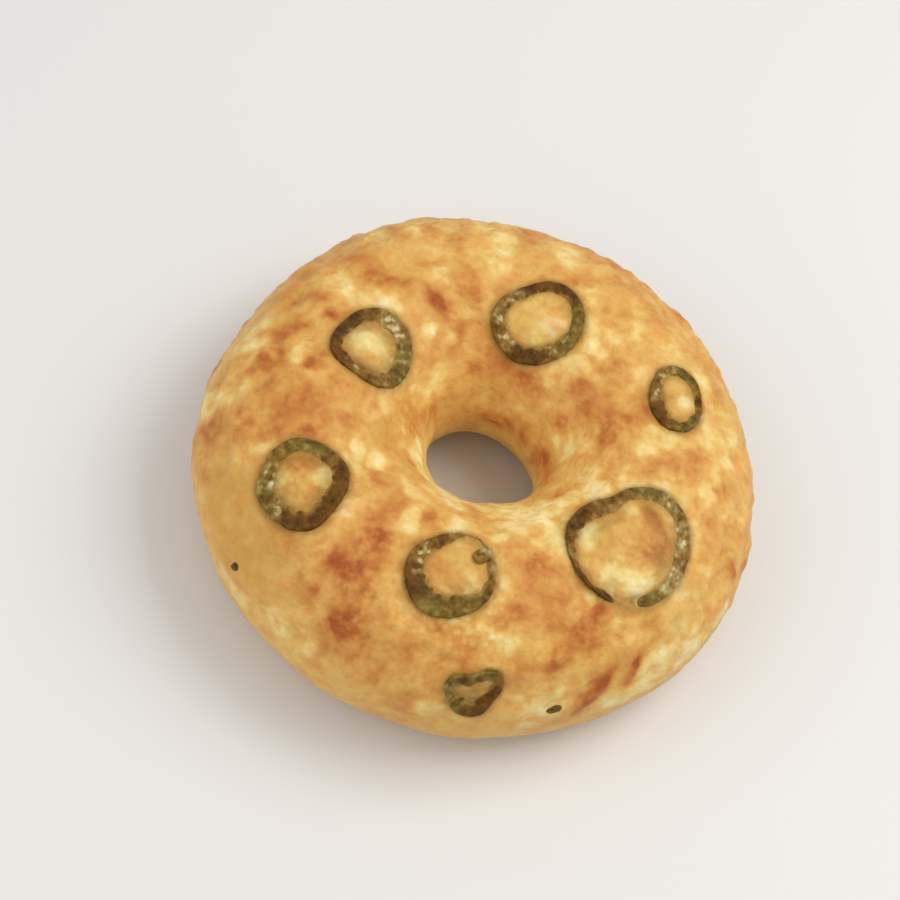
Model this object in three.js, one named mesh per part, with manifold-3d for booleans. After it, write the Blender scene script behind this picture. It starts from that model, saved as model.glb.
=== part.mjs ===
// A cheese bagel with pepper rings baked into its crust. Millimetres, +Z up.
// It rests on its flat bottom at z = 0, and the origin lies under the middle of its outline.
//
// Two angles place anything on the bread: `around` turns about the hole, from +X towards +Y, and
// `over` turns round the section of the roll: 0 at the outer side, 90 on the crest, 180 in the hole.

import * as THREE from 'three';
import { mergeVertices } from 'three/addons/utils/BufferGeometryUtils.js';
import { SimplexNoise } from 'three/addons/math/SimplexNoise.js';
import Module from 'manifold-3d';

const wasm = await Module();
wasm.setup();

// ---- driving dimensions -------------------------------------------------------------------------

const outerRadius = 57.4;
const holeRadius = 11.7;
const breadHeight = 38;
const waistHeight = 16.3; // level at which the side bulges furthest
const footDepth = 0.6; // how far the rounded bottom is pressed flat by the baking sheet
const topFullness = 2.1; // exponent of the section: 2 is an ellipse, more is squarer
const bottomFullness = 2.6;

// Hand-rolled dough isn't round: each wave has so many lobes, a size, and a lobe at this angle.
const outlineWaves = [
  { lobes: 2, size: 0.2, at: 46 },
  { lobes: 3, size: 0.4, at: -13 },
  { lobes: 5, size: 0.4, at: -13 },
];
const holeWaves = [
  { lobes: 1, size: 0.75, at: 82 },
  { lobes: 3, size: 0.35, at: 13 },
];

// The baked cheese: broad swells, and crags on them.
const swellLength = 17;
const swellHeight = 0.45;
const cragLength = 7.5;
const cragHeight = 0.5;
const cheeseEdge = { low: 7, high: 24 }; // the crust grows from smooth to craggy between these levels
const fillingHeight = 0.5; // cheese that has puffed up inside a pepper ring

// Pepper rings lie half sunk in the cheese.
const ringProud = 1.2;
const ringSunk = 0.9;
const clearance = 0.3; // between a ring and the groove that it lies in
const grooveReach = 3; // how far the groove's cutter stands above the crust

// `size` is the outer radius, `oval`, `tri` and `quad` are waves of 2, 3 and 4 lobes on it, and `wall` is the
// width of the pepper's flesh, with `thick` as the side where it is widest.
// The waves' angles are measured from the direction of growing `around` towards the hole.
const pepperRings = {
  pepper_ring_left: {
    around: 170.8, over: 104.4, size: 8.5, wall: 3.1, steps: 28,
    oval: { size: 0.1, at: 20 }, tri: { size: 0.35, at: -53 }, quad: { size: 0.2, at: 42 },
    thick: { size: 0.6, at: 120 },
  },
  pepper_ring_back: {
    around: 89.5, over: 113.4, size: 9.2, wall: 2.9, steps: 28,
    oval: { size: 0.7, at: 48 }, tri: { size: 0.3, at: 11 }, quad: { size: 0.1, at: 0 },
    thick: { size: 0.6, at: 100 },
  },
  pepper_ring_right_back: {
    around: 31.5, over: 83.7, size: 6.5, wall: 2.5, steps: 24,
    oval: { size: 0.95, at: -14 }, tri: { size: 0.1, at: -26 }, quad: { size: 0.1, at: -11 },
    thick: { size: 0.7, at: 110 },
  },
  pepper_ring_left_front: {
    around: -135, over: 70.2, size: 9.05, wall: 3.4, steps: 28,
    oval: { size: 0.35, at: -27 }, tri: { size: 0.15, at: -32 }, quad: { size: 0.3, at: -14 },
    thick: { size: 0.4, at: -30 },
  },
  pepper_ring_front: {
    around: -86, over: 83.7, size: 8.8, wall: 3.3, steps: 28,
    oval: { size: 0.4, at: 54 }, tri: { size: 0.15, at: -42 }, quad: { size: 0.2, at: -16 },
    thick: { size: 1, at: -100 },
  },
  pepper_ring_right_front: {
    around: -26.8, over: 86.4, size: 12.2, wall: 2.4, steps: 36,
    oval: { size: 0.7, at: 9 }, tri: { size: 0.35, at: 10 }, quad: { size: 0.2, at: 13 },
    thick: { size: 0.5, at: 90 },
  },
  pepper_ring_front_side: {
    around: -74.5, over: 27.9, size: 5.5, wall: 3, steps: 24,
    oval: { size: 0.45, at: 32 }, tri: { size: 0.75, at: 43 }, quad: { size: 0.2, at: -41 },
    thick: { size: 0.4, at: -90 },
  },
};

// Two dark flecks of pepper skin, baked on to the side.
const flecks = [
  { around: -129.5, over: 14.4, length: 2.8, width: 1.8, turn: 70 },
  { around: -56.7, over: 14.4, length: 3.2, width: 2, turn: 20 },
];
const fleckThickness = 1.2;

// How finely the bread's skin is divided.
const stepsAround = 96;
const stepsOverTop = 22;
const stepsUnder = 12;
const topStart = -12; // degrees of `over` where the fine part begins and ends
const topEnd = 192;

const crustMaterial = new THREE.MeshStandardMaterial({ color: 0xd5a25a, roughness: 0.6, metalness: 0 });
const pepperMaterial = new THREE.MeshStandardMaterial({ color: 0x6e5a2c, roughness: 0.35, metalness: 0 });

// ---- shape of the bread -------------------------------------------------------------------------

const radians = THREE.MathUtils.degToRad;

function wavesAt(angle, waves) {
  return waves.reduce((sum, wave) => sum + wave.size * Math.cos(wave.lobes * (angle - radians(wave.at))), 0);
}

// Middle and half width of the roll's section where it crosses the direction `angle`.
function rollAt(angle) {
  const outside = outerRadius + wavesAt(angle, outlineWaves);
  const inside = holeRadius + wavesAt(angle, holeWaves);
  return { middle: (outside + inside) / 2, half: (outside - inside) / 2 };
}

function breadPoint(around, over) {
  const angle = radians(around);
  const turn = radians(over);
  const roll = rollAt(angle);
  const isTop = Math.sin(turn) >= 0;
  const fullness = isTop ? topFullness : bottomFullness;
  const rise = isTop ? breadHeight - waistHeight : waistHeight + footDepth;
  const reach = (Math.abs(Math.cos(turn)) ** fullness + Math.abs(Math.sin(turn)) ** fullness) ** (-1 / fullness);
  const radius = roll.middle + roll.half * Math.cos(turn) * reach;
  const level = waistHeight + rise * Math.sin(turn) * reach;
  return new THREE.Vector3(radius * Math.cos(angle), radius * Math.sin(angle), Math.max(level, 0));
}

// 1 on the bread's smooth skin, less inside it and more outside.
function depthAt(point) {
  const roll = rollAt(Math.atan2(point.y, point.x));
  const isTop = point.z >= waistHeight;
  const fullness = isTop ? topFullness : bottomFullness;
  const rise = isTop ? breadHeight - waistHeight : waistHeight + footDepth;
  const across = Math.abs(Math.hypot(point.x, point.y) - roll.middle) / roll.half;
  const upwards = Math.abs(point.z - waistHeight) / rise;
  return (across ** fullness + upwards ** fullness) ** (1 / fullness);
}

function outwardAt(point) {
  const nudge = 0.01;
  const slope = ['x', 'y', 'z'].map((axis) => {
    const ahead = point.clone();
    const behind = point.clone();
    ahead[axis] += nudge;
    behind[axis] -= nudge;
    return depthAt(ahead) - depthAt(behind);
  });
  return new THREE.Vector3(...slope).normalize();
}

// A flat frame that touches the bread: `along` points to growing `around`, `inward` over the crest
// to the hole, and `out` away from the bread.
function frameAt(around, over) {
  const origin = breadPoint(around, over);
  const out = outwardAt(origin);
  const along = new THREE.Vector3(-Math.sin(radians(around)), Math.cos(radians(around)), 0);
  const inward = new THREE.Vector3().crossVectors(out, along).normalize();
  return { origin, along, inward, out };
}

// Drops a point of that flat frame on to the smooth skin.
function dropOnBread(frame, alongBy, inwardBy) {
  const start = 8;
  const stop = -16;
  const pointAt = (lift) => frame.origin.clone()
    .addScaledVector(frame.along, alongBy)
    .addScaledVector(frame.inward, inwardBy)
    .addScaledVector(frame.out, lift);
  let above = start;
  let below = start;
  while (depthAt(pointAt(below)) > 1 && below > stop) {
    above = below;
    below -= 0.5;
  }
  for (let i = 0; i < 24; i += 1) {
    const middle = (above + below) / 2;
    if (depthAt(pointAt(middle)) > 1) above = middle;
    else below = middle;
  }
  return pointAt((above + below) / 2);
}

// ---- baked cheese -------------------------------------------------------------------------------

// A plain seeded random number, so that the crust is the same each time.
function seededRandom(seed) {
  let state = seed;
  return {
    random() {
      state = (state * 16807) % 2147483647;
      return state / 2147483647;
    },
  };
}

const swells = new SimplexNoise(seededRandom(11));
const crags = new SimplexNoise(seededRandom(29));

const fillings = Object.values(pepperRings).map((ring) => ({
  ...frameAt(ring.around, ring.over),
  radius: ring.size - ring.wall,
}));

function fillingAt(point) {
  return fillings.reduce((rise, filling) => {
    const away = point.distanceTo(filling.origin) / filling.radius;
    return rise + fillingHeight * (1 - THREE.MathUtils.smoothstep(away, 0.4, 1.1));
  }, 0);
}

// How far the cheese stands above (or dips below) the smooth skin.
function reliefAt(point) {
  const cheese = THREE.MathUtils.smoothstep(point.z, cheeseEdge.low, cheeseEdge.high);
  const foot = THREE.MathUtils.smoothstep(point.z, 0, cheeseEdge.low);
  const swell = swells.noise3d(point.x / swellLength, point.y / swellLength, point.z / swellLength);
  const crag = crags.noise3d(point.x / cragLength, point.y / cragLength, point.z / cragLength);
  return foot * swellHeight * swell + cheese * cragHeight * crag + fillingAt(point);
}

// ---- meshes -------------------------------------------------------------------------------------

// Closes a grid of points whose rows and columns both run round, as on a tyre.
function closedGrid(rows) {
  const columns = rows[0].length;
  const positions = rows.flat().flatMap((point) => point.toArray());
  const corners = [];
  rows.forEach((row, i) => {
    const next = ((i + 1) % rows.length) * columns;
    for (let j = 0; j < columns; j += 1) {
      const a = i * columns + j;
      const b = next + j;
      const c = next + ((j + 1) % columns);
      const d = i * columns + ((j + 1) % columns);
      corners.push(a, b, c, a, c, d);
    }
  });
  const geometry = new THREE.BufferGeometry();
  geometry.setAttribute('position', new THREE.Float32BufferAttribute(positions, 3));
  geometry.setIndex(corners);
  return geometry;
}

function toSolid(geometry) {
  const plain = geometry.clone();
  plain.deleteAttribute('normal');
  plain.deleteAttribute('uv');
  const merged = mergeVertices(plain, 1e-4);
  return new wasm.Manifold(new wasm.Mesh({
    numProp: 3,
    vertProperties: new Float32Array(merged.attributes.position.array),
    triVerts: new Uint32Array(merged.index.array),
  }));
}

function toGeometry(solid) {
  const mesh = solid.getMesh();
  const geometry = new THREE.BufferGeometry();
  geometry.setAttribute('position', new THREE.BufferAttribute(new Float32Array(mesh.vertProperties), 3));
  geometry.setIndex(new THREE.BufferAttribute(new Uint32Array(mesh.triVerts), 1));
  geometry.computeVertexNormals();
  return geometry;
}

function breadGeometry() {
  const overs = [];
  for (let j = 0; j < stepsOverTop; j += 1) {
    overs.push(topStart + ((topEnd - topStart) * j) / stepsOverTop);
  }
  for (let j = 0; j < stepsUnder; j += 1) {
    overs.push(topEnd + ((360 + topStart - topEnd) * j) / stepsUnder);
  }
  const rows = [];
  for (let i = 0; i < stepsAround; i += 1) {
    const around = (360 * i) / stepsAround;
    rows.push(overs.map((over) => {
      const point = breadPoint(around, over);
      return point.z > 0 ? point.addScaledVector(outwardAt(point), reliefAt(point)) : point;
    }));
  }
  return closedGrid(rows);
}

// A band laid on the bread along a ring's outline. `section` gives the corners of its cross-section:
// `across` from -1 at the pepper's inner edge to 1 at its skin, and `lift` above the smooth skin.
function bandGeometry(ring, section, grow) {
  const frame = frameAt(ring.around, ring.over);
  const rows = [];
  for (let i = 0; i < ring.steps; i += 1) {
    const turn = (2 * Math.PI * i) / ring.steps;
    const wave = (lobes, part) => part.size * Math.cos(lobes * (turn - radians(part.at)));
    const skin = ring.size + wave(2, ring.oval) + wave(3, ring.tri) + wave(4, ring.quad) + grow;
    const width = ring.wall + wave(1, ring.thick) + 2 * grow;
    rows.push(section.map((corner) => {
      const radius = skin - width / 2 + (corner.across * width) / 2;
      const foot = dropOnBread(frame, radius * Math.cos(turn), radius * Math.sin(turn));
      return foot.addScaledVector(outwardAt(foot), corner.lift);
    }));
  }
  return closedGrid(rows);
}

// Rounded slice of pepper, higher in its middle than at its edges.
const ringSection = [
  { across: 1, lift: -0.2 * ringSunk },
  { across: 0.95, lift: 0.55 * ringProud },
  { across: 0.5, lift: ringProud },
  { across: -0.5, lift: ringProud },
  { across: -0.95, lift: 0.5 * ringProud },
  { across: -1, lift: -0.2 * ringSunk },
  { across: -0.6, lift: -ringSunk },
  { across: 0.6, lift: -ringSunk },
];

// The groove has the slice's underside and straight sides that run up out of the crust.
const grooveSection = [
  { across: 1, lift: grooveReach },
  { across: -1, lift: grooveReach },
  { across: -1, lift: -0.2 * ringSunk - clearance },
  { across: -0.6, lift: -ringSunk - clearance },
  { across: 0.6, lift: -ringSunk - clearance },
  { across: 1, lift: -0.2 * ringSunk - clearance },
];

function fleckGeometry(fleck) {
  const frame = frameAt(fleck.around, fleck.over);
  const geometry = new THREE.SphereGeometry(0.5, 7, 5);
  geometry.scale(fleck.length, fleck.width, fleckThickness);
  geometry.rotateZ(radians(fleck.turn));
  geometry.applyMatrix4(new THREE.Matrix4().makeBasis(frame.along, frame.inward, frame.out));
  const seat = frame.origin.clone().addScaledVector(frame.out, reliefAt(frame.origin));
  geometry.translate(seat.x, seat.y, seat.z);
  return geometry;
}

// ---- the object ---------------------------------------------------------------------------------

function bagelMesh() {
  let solid = toSolid(breadGeometry());
  Object.values(pepperRings).forEach((ring) => {
    solid = solid.subtract(toSolid(bandGeometry(ring, grooveSection, clearance)));
  });
  flecks.forEach((fleck) => {
    solid = solid.add(toSolid(fleckGeometry(fleck)));
  });
  const mesh = new THREE.Mesh(toGeometry(solid), crustMaterial);
  mesh.name = 'bagel';
  return mesh;
}

function pepperMesh(name, ring) {
  const geometry = bandGeometry(ring, ringSection, 0);
  geometry.computeVertexNormals();
  const mesh = new THREE.Mesh(geometry, pepperMaterial);
  mesh.name = name;
  return mesh;
}

const group = new THREE.Group();
group.add(bagelMesh());
Object.entries(pepperRings).forEach(([name, ring]) => group.add(pepperMesh(name, ring)));

export default group;
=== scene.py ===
from math import cos, pi, radians, sin

import bpy
import numpy as np
from mathutils import Matrix, Vector, noise


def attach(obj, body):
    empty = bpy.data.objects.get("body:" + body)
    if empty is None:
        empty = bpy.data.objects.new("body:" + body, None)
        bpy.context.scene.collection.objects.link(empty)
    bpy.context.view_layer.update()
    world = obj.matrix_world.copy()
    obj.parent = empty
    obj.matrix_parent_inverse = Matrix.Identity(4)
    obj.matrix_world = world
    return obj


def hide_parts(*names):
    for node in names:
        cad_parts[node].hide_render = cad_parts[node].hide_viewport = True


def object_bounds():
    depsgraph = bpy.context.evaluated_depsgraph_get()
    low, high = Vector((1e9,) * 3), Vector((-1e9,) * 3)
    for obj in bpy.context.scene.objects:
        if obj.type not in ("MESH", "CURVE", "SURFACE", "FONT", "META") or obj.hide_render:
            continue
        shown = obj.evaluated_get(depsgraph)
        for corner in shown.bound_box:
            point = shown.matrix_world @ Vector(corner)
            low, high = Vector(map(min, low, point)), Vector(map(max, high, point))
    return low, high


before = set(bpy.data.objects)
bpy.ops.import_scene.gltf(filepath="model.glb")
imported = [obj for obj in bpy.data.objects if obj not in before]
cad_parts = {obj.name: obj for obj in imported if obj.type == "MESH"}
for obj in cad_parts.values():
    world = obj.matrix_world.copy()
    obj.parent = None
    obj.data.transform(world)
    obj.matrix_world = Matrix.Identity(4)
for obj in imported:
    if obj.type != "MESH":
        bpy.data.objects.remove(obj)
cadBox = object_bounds()
bpy.ops.object.select_all(action="DESELECT")
mm = 0.001

# Two angles in degrees place anything on the bread. around turns about the hole from +X to +Y.
# over turns round the roll's section: 0 at the outer side, 90 on the crest, 180 in the hole.
bread = {
    "outerRadius": 57.4 * mm,
    "holeRadius": 11.7 * mm,
    "height": 38 * mm,
    "waist": 16.3 * mm,  # where the side bulges furthest
    "foot": 0.6 * mm,  # what the baking sheet presses flat
    "topFullness": 2.1,
    "bottomFullness": 2.6,
    "outlineWaves": [(2, 0.2 * mm, 46), (3, 0.4 * mm, -13), (5, 0.4 * mm, -13)],  # lobes, size, at
    "holeWaves": [(1, 0.75 * mm, 82), (3, 0.35 * mm, 13)],
}


def waveSum(angle, waves):  # lobes round an outline, added up
    return sum(size * np.cos(lobes * (angle - radians(at))) for lobes, size, at in waves)


def smoothStep(value, low, high):
    share = np.clip((value - low) / (high - low), 0, 1)
    return share * share * (3 - 2 * share)


def rollAt(angle):  # middle and half width of the roll's section
    outside = bread["outerRadius"] + waveSum(angle, bread["outlineWaves"])
    inside = bread["holeRadius"] + waveSum(angle, bread["holeWaves"])
    return (outside + inside) / 2, (outside - inside) / 2


def sectionAt(isTop):  # how square the section is, and its half height
    fullness = np.where(isTop, bread["topFullness"], bread["bottomFullness"])
    rise = np.where(isTop, bread["height"] - bread["waist"], bread["waist"] + bread["foot"])
    return fullness, rise


def breadPoint(around, over):
    angle, turn = np.radians(around), np.radians(over)
    middle, half = rollAt(angle)
    fullness, rise = sectionAt(np.sin(turn) >= 0)
    reach = (abs(np.cos(turn)) ** fullness + abs(np.sin(turn)) ** fullness) ** (-1 / fullness)
    radius = middle + half * np.cos(turn) * reach
    level = np.maximum(bread["waist"] + rise * np.sin(turn) * reach, 0)
    return np.stack([radius * np.cos(angle), radius * np.sin(angle), level], -1)


def depthAt(points):  # 1 on the smooth skin, less inside it
    middle, half = rollAt(np.arctan2(points[..., 1], points[..., 0]))
    fullness, rise = sectionAt(points[..., 2] >= bread["waist"])
    across = abs(np.hypot(points[..., 0], points[..., 1]) - middle) / half
    upwards = abs(points[..., 2] - bread["waist"]) / rise
    return (across ** fullness + upwards ** fullness) ** (1 / fullness)


def outwardAt(points):  # directions that stand straight off the bread
    nudge = 0.01 * mm
    slope = [depthAt(points + step) - depthAt(points - step) for step in np.eye(3) * nudge]
    slope = np.stack(slope, -1)
    return slope / np.linalg.norm(slope, axis=-1, keepdims=True)


def frameAt(around, over):  # origin, then the axes along, inward and out
    origin = breadPoint(around, over)
    out = outwardAt(origin)
    along = np.array([-sin(radians(around)), cos(radians(around)), 0])
    inward = np.cross(out, along)
    return origin, along, inward / np.linalg.norm(inward), out


def dropOnBread(place, alongBy, inwardBy):  # from above a place, straight down to the bread
    origin, along, inward, out = place
    flat = origin + np.multiply.outer(alongBy, along) + np.multiply.outer(inwardBy, inward)
    start, step, steps, halvings = 8 * mm, 0.5 * mm, 48, 20
    above = np.full(np.shape(alongBy), start)
    below = above.copy()
    for _ in range(steps):  # walks down until every point is inside the bread
        outside = depthAt(flat + below[..., None] * out) > 1
        above = np.where(outside, below, above)
        below = np.where(outside, below - step, below)
    for _ in range(halvings):
        middle = (above + below) / 2
        outside = depthAt(flat + middle[..., None] * out) > 1
        above = np.where(outside, middle, above)
        below = np.where(outside, below, middle)
    return flat + ((above + below) / 2)[..., None] * out


def readPoints(piece):
    flat = np.empty(len(piece.data.vertices) * 3)
    piece.data.vertices.foreach_get("co", flat)
    return flat.reshape(-1, 3)


def readNormals(piece):
    flat = np.empty(len(piece.data.vertices) * 3)
    piece.data.vertex_normals.foreach_get("vector", flat)
    return flat.reshape(-1, 3)


def writePoints(piece, points):
    piece.data.vertices.foreach_set("co", np.asarray(points, np.float32).ravel())
    piece.data.update()


def keepInside(piece):  # no tip of the finer relief leaves the solid's box, and the foot stays at 0
    low, high = [np.array(corner) for corner in cadBox]
    margin = 0.01 * mm
    writePoints(piece, np.clip(readPoints(piece), low + margin * (low < 0), high - margin))


def storeFields(piece, **fields):  # numbers on the piece's points, for its material to read
    for name, values in fields.items():
        field = piece.data.attributes.new(name, "FLOAT", "POINT")
        field.data.foreach_set("value", np.full(len(piece.data.vertices), values, np.float32))


def weigh(piece, name, weights):  # vertex group, its weights in steps of a fiftieth
    group = piece.vertex_groups.new(name=name)
    steps = np.round(np.clip(weights, 0, 1) * 50).astype(int)
    for step in np.unique(steps):
        group.add(np.flatnonzero(steps == step).tolist(), step / 50, "REPLACE")
    return name


def mottle(points, size, shift):  # smooth random field from -1 to 1
    offset = Vector((shift, 1.7 * shift, -0.6 * shift))
    return np.array([noise.noise(Vector(point) / size + offset) for point in points])


def applyAll(piece):
    bpy.context.view_layer.objects.active = piece
    for modifier in list(piece.modifiers):
        bpy.ops.object.modifier_apply(modifier=modifier.name)


def displace(piece, group, height, kind="", size=1.0, depth=None, middle=0.5):
    modifier = piece.modifiers.new("relief", "DISPLACE")
    modifier.strength = height
    modifier.mid_level = middle
    modifier.vertex_group = group
    if kind:
        modifier.texture = bpy.data.textures.new("relief", kind)
        modifier.texture.noise_scale = size
        modifier.texture_coords = "LOCAL"
    if depth is not None:
        modifier.texture.noise_depth = depth
    applyAll(piece)


class Value:  # a shader socket that can stand in a sum
    def __init__(self, recipe, socket):
        self.recipe = recipe
        self.socket = socket

    def maths(self, operation, first, second):
        return self.recipe.node("ShaderNodeMath", {"operation": operation}, {0: first, 1: second})

    def __add__(self, other):
        return self.maths("ADD", self, other)

    def __sub__(self, other):
        return self.maths("SUBTRACT", self, other)

    def __rsub__(self, other):
        return self.maths("SUBTRACT", other, self)

    def __mul__(self, other):
        return self.maths("MULTIPLY", self, other)

    __radd__ = __add__
    __rmul__ = __mul__

    def band(self, low, high):  # 0 below low, 1 above high, soft between
        inputs = {"Value": self, "From Min": low, "From Max": high}
        return self.recipe.node("ShaderNodeMapRange", {"interpolation_type": "SMOOTHSTEP"}, inputs)


class Recipe:  # one material and the nodes that feed it
    def __init__(self, name, **constants):
        self.material = bpy.data.materials.new(name)
        self.material.use_nodes = True
        self.tree = self.material.node_tree
        self.surface = self.tree.nodes["Principled BSDF"]
        self.place = self.node("ShaderNodeTexCoord", output="Object")
        for socket, value in constants.items():
            self.surface.inputs[socket.replace("_", " ")].default_value = value

    def node(self, kind, settings=None, inputs=None, output=0):
        made = self.tree.nodes.new(kind)
        for key, value in (settings or {}).items():
            if key == "stops":
                self.setStops(made.color_ramp.elements, value)
            else:
                setattr(made, key, value)
        for key, value in (inputs or {}).items():
            self.feed(made.inputs[key], value)
        return Value(self, made.outputs[output])

    def setStops(self, elements, stops):
        elements.remove(elements[-1])
        elements[0].color = paint(*stops[0][1])
        for position, colour in stops[1:]:
            elements.new(position).color = paint(*colour)

    def feed(self, socket, value):
        if isinstance(value, Value):
            self.tree.links.new(value.socket, socket)
        else:
            socket.default_value = value

    def wear(self, name):  # one of the piece's own fields
        return self.node("ShaderNodeAttribute", {"attribute_name": name}, output="Fac")

    def mottle(self, size, detail):  # noise, about -1 to 1
        inputs = {"Vector": self.place, "Scale": 1 / size, "Detail": detail}
        return 5 * (self.node("ShaderNodeTexNoise", {}, inputs) - 0.5)

    def cells(self, size):  # distance from scattered points, in cell sizes
        inputs = {"Vector": self.place, "Scale": 1 / size}
        return self.node("ShaderNodeTexVoronoi", {"feature": "F1"}, inputs)

    def blend(self, share, under, over):  # colours
        settings = {"data_type": "RGBA", "clamp_factor": True}
        return self.node("ShaderNodeMix", settings, {0: share, 6: under, 7: over}, output=2)

    def ramp(self, tone, stops):  # colour along a row of stops
        return self.node("ShaderNodeValToRGB", {"stops": stops}, {"Fac": tone})

    def shade(self, colour, red, green, blue):  # colour times a number for each channel
        tone = self.node("ShaderNodeCombineXYZ", {}, {0: red, 1: green, 2: blue})
        settings = {"operation": "MULTIPLY"}
        return self.node("ShaderNodeVectorMath", settings, {0: colour, 1: tone})

    def bump(self, height, distance, strength):
        inputs = {"Height": height, "Distance": distance, "Strength": strength}
        return self.node("ShaderNodeBump", {}, inputs)

    def finish(self, **fields):
        for socket, value in fields.items():
            self.feed(self.surface.inputs[socket.replace("_", " ")], value)
        return self.material


def paint(red, green, blue):  # screen colour to the shader's linear one
    linear = [((c / 255 + 0.055) / 1.055) ** 2.4 for c in (red, green, blue)]
    return (*linear, 1.0)


# size is the outer radius, waves its lobes, wall the flesh's width, and thick how much wider it
# is on one side, and where. seep is how far juice stains the cheese inside the ring.
# bulges push the skin out and thin narrows the flesh: middle and half width (degrees), amount.
# covered is sunk under cheese: middle, half width, and how much, from 0 to 1 and cut off there.
# The other arcs are middle and half width: pale is wet whitish pith, green bare green flesh,
# brown scorched, and faded washed out. All angles turn from along towards inward.
pepperRings = {
    "left": {
        "around": 170.8, "over": 104.4, "size": 8.5 * mm, "wall": 3.1 * mm, "seep": 1.8 * mm,
        "waves": [(2, 0.1 * mm, 20), (3, 0.35 * mm, -53), (4, 0.2 * mm, 42)],
        "bulges": [],
        "thick": (0.6 * mm, 120),
        "thin": [],
        "pale": [(172, 26), (120, 22), (345, 14)],
        "green": [(100, 40)],
        "brown": [(290, 60)],
        "covered": [],
        "faded": [],
    },
    "back": {
        "around": 89.5, "over": 113.4, "size": 9.2 * mm, "wall": 2.9 * mm, "seep": 0.9 * mm,
        "waves": [(2, 0.7 * mm, 48), (3, 0.3 * mm, 11), (4, 0.1 * mm, 0)],
        "bulges": [(112, 50, -0.4 * mm)],
        "thick": (0.6 * mm, 100),
        "thin": [],
        "pale": [(14, 50), (330, 14), (142, 26), (112, 10)],
        "green": [(190, 44)],
        "brown": [(90, 26), (280, 44)],
        "covered": [],
        "faded": [],
    },
    "right_back": {
        "around": 31.5, "over": 83.7, "size": 6.5 * mm, "wall": 2.5 * mm, "seep": 1.2 * mm,
        "waves": [(2, 0.95 * mm, -14), (3, 0.1 * mm, -26), (4, 0.1 * mm, -11)],
        "bulges": [(344, 50, 0.7 * mm)],
        "thick": (0.7 * mm, 110),
        "thin": [(240, 50, 0.5 * mm)],
        "pale": [(36, 44)],
        "green": [(190, 34), (330, 22)],
        "brown": [(120, 30), (265, 18)],
        "covered": [],
        "faded": [],
    },
    "left_front": {
        "around": -135, "over": 70.2, "size": 9.05 * mm, "wall": 3.4 * mm, "seep": 2.0 * mm,
        "waves": [(2, 0.35 * mm, -27), (3, 0.15 * mm, -32), (4, 0.3 * mm, -14)],
        "bulges": [],
        "thick": (0.4 * mm, -30),
        "thin": [],
        "pale": [(294, 9), (232, 20)],
        "green": [(150, 30), (260, 30)],
        "brown": [(340, 36), (50, 46)],
        "covered": [],
        "faded": [],
    },
    "front": {
        "around": -86, "over": 83.7, "size": 8.8 * mm, "wall": 3.3 * mm, "seep": 0.9 * mm,
        "waves": [(2, 0.4 * mm, 54), (3, 0.15 * mm, -42), (4, 0.2 * mm, -16)],
        "bulges": [],
        "thick": (1 * mm, -100),
        "thin": [(20, 50, 1.5 * mm), (76, 26, 1.9 * mm)],
        "pale": [(180, 24), (140, 16)],
        "green": [(290, 60)],
        "brown": [(206, 24), (118, 9)],
        "covered": [(72, 26, 0.35)],
        "faded": [(56, 50)],
    },
    "right_front": {
        "around": -26.8, "over": 86.4, "size": 12.2 * mm, "wall": 2.4 * mm, "seep": 1.3 * mm,
        "waves": [(2, 0.7 * mm, 9), (3, 0.35 * mm, 10), (4, 0.2 * mm, 13)],
        "bulges": [(4, 40, 0.9 * mm), (58, 13, -0.8 * mm), (318, 46, 1.1 * mm)],
        "thick": (0.5 * mm, 90),
        "thin": [(172, 44, 1.5 * mm), (318, 46, -0.7 * mm), (82, 30, -1.1 * mm)],
        "pale": [(318, 46)],
        "green": [(256, 18), (20, 16)],
        "brown": [(108, 26), (190, 20), (353, 6), (305, 7)],
        "covered": [(225, 12, 1.2)],
        "faded": [(318, 50)],
    },
    "front_side": {
        "around": -74.5, "over": 27.9, "size": 5.5 * mm, "wall": 3 * mm, "seep": 2.4 * mm,
        "waves": [(2, 0.45 * mm, 32), (3, 0.75 * mm, 43), (4, 0.2 * mm, -41)],
        "bulges": [(190, 36, -0.8 * mm)],
        "thick": (0.4 * mm, -90),
        "thin": [(190, 36, 0.6 * mm)],
        "pale": [],
        "green": [(190, 60), (80, 40)],
        "brown": [(330, 56)],
        "covered": [],
        "faded": [],
    },
}


def hills(turn, places):  # soft rises round a ring
    total = np.zeros(np.shape(turn))
    for middle, half, amount in places:
        away = (np.degrees(turn) - middle + 180) % 360 - 180
        total = total + amount * np.exp(-(away / half) ** 2)
    return total


def ringEdges(ring, turn):  # radius of the skin and width of the flesh
    skin = ring["size"] + waveSum(turn, ring["waves"]) + hills(turn, ring["bulges"])
    amount, at = ring["thick"]
    return skin, ring["wall"] + amount * np.cos(turn - radians(at)) - hills(turn, ring["thin"])


def coverShare(turn, ring):  # sinks softly at both ends
    return np.minimum(hills(turn, ring["covered"]), 1)


def arcShare(turn, arcs):  # 1 within an arc, 0 away from it
    share = np.zeros(np.shape(turn))
    for middle, half in arcs:
        away = abs((np.degrees(turn) - middle + 180) % 360 - 180)
        share = np.maximum(share, 1 - smoothStep(away, 0.7 * half, 1.3 * half))
    return share


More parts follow.
